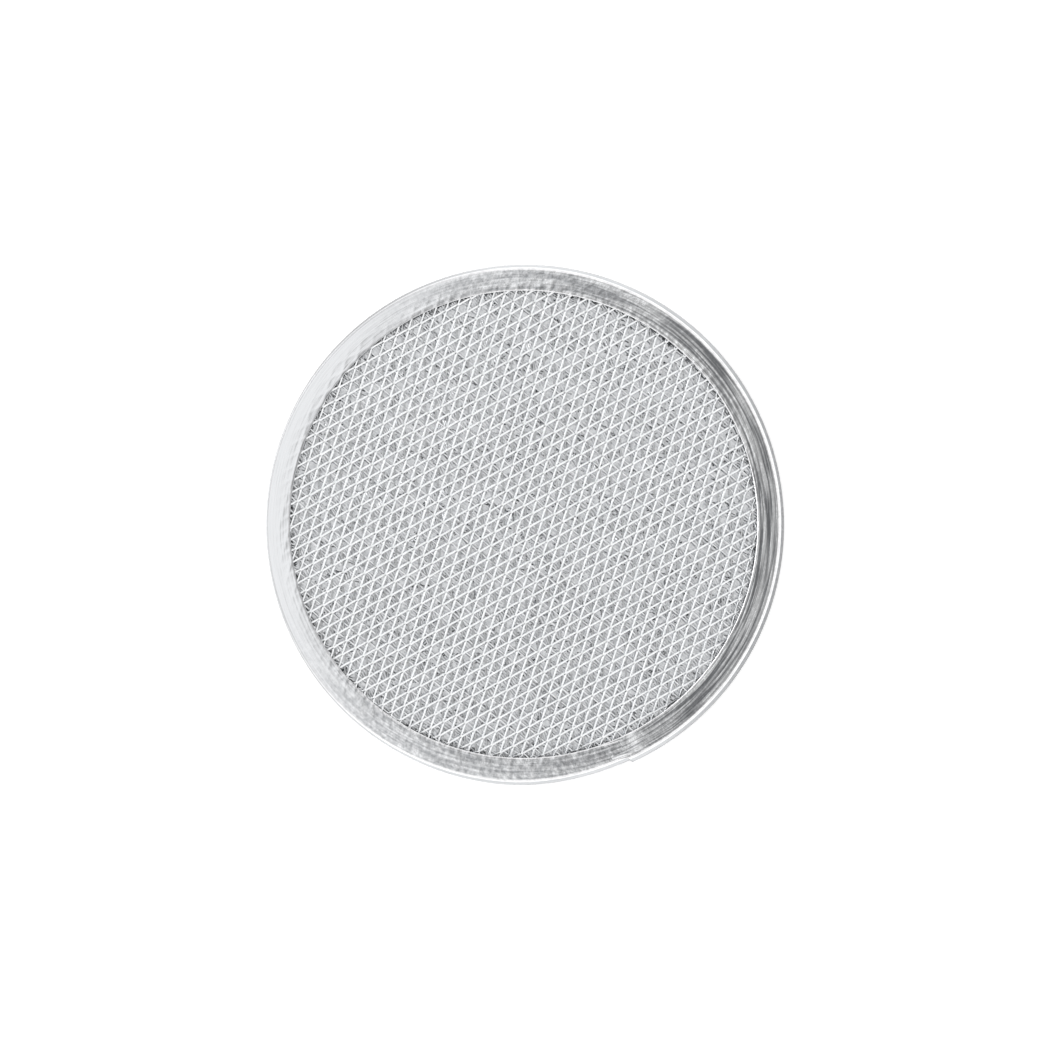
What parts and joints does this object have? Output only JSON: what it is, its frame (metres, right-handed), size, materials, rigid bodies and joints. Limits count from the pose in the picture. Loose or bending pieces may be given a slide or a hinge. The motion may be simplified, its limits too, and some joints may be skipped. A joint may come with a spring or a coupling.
{
  "type": "round mesh filter",
  "caption": "Flat round washable aluminium mesh filter: a rolled channel rim grips two expanded metal face screens and a pad of crimped foil mesh plies.",
  "frame": {"origin": "centre of the rear face, on the disc's axis", "axes": "+Z along the disc's axis, out of the front face; +X right and +Y up when the front face is looked at"},
  "size_m": [0.2666, 0.2666, 0.0095],
  "materials": {
    "rim_strip": "mill finish, bright, finely streaked round the hoop",
    "expanded_sheet": "bright, as expanded",
    "foil_mesh": "crimped foil mesh"
  },
  "bodies": {
    "root": {"rim_channel": "rim_strip", "front_screen": "expanded_sheet", "foil_ply_1": "foil_mesh", "foil_ply_2": "foil_mesh", "foil_ply_3": "foil_mesh", "foil_ply_4": "foil_mesh", "foil_ply_5": "foil_mesh", "foil_ply_6": "foil_mesh", "foil_ply_7": "foil_mesh", "foil_ply_8": "foil_mesh", "rear_screen": "expanded_sheet"}
  },
  "joints": []
}
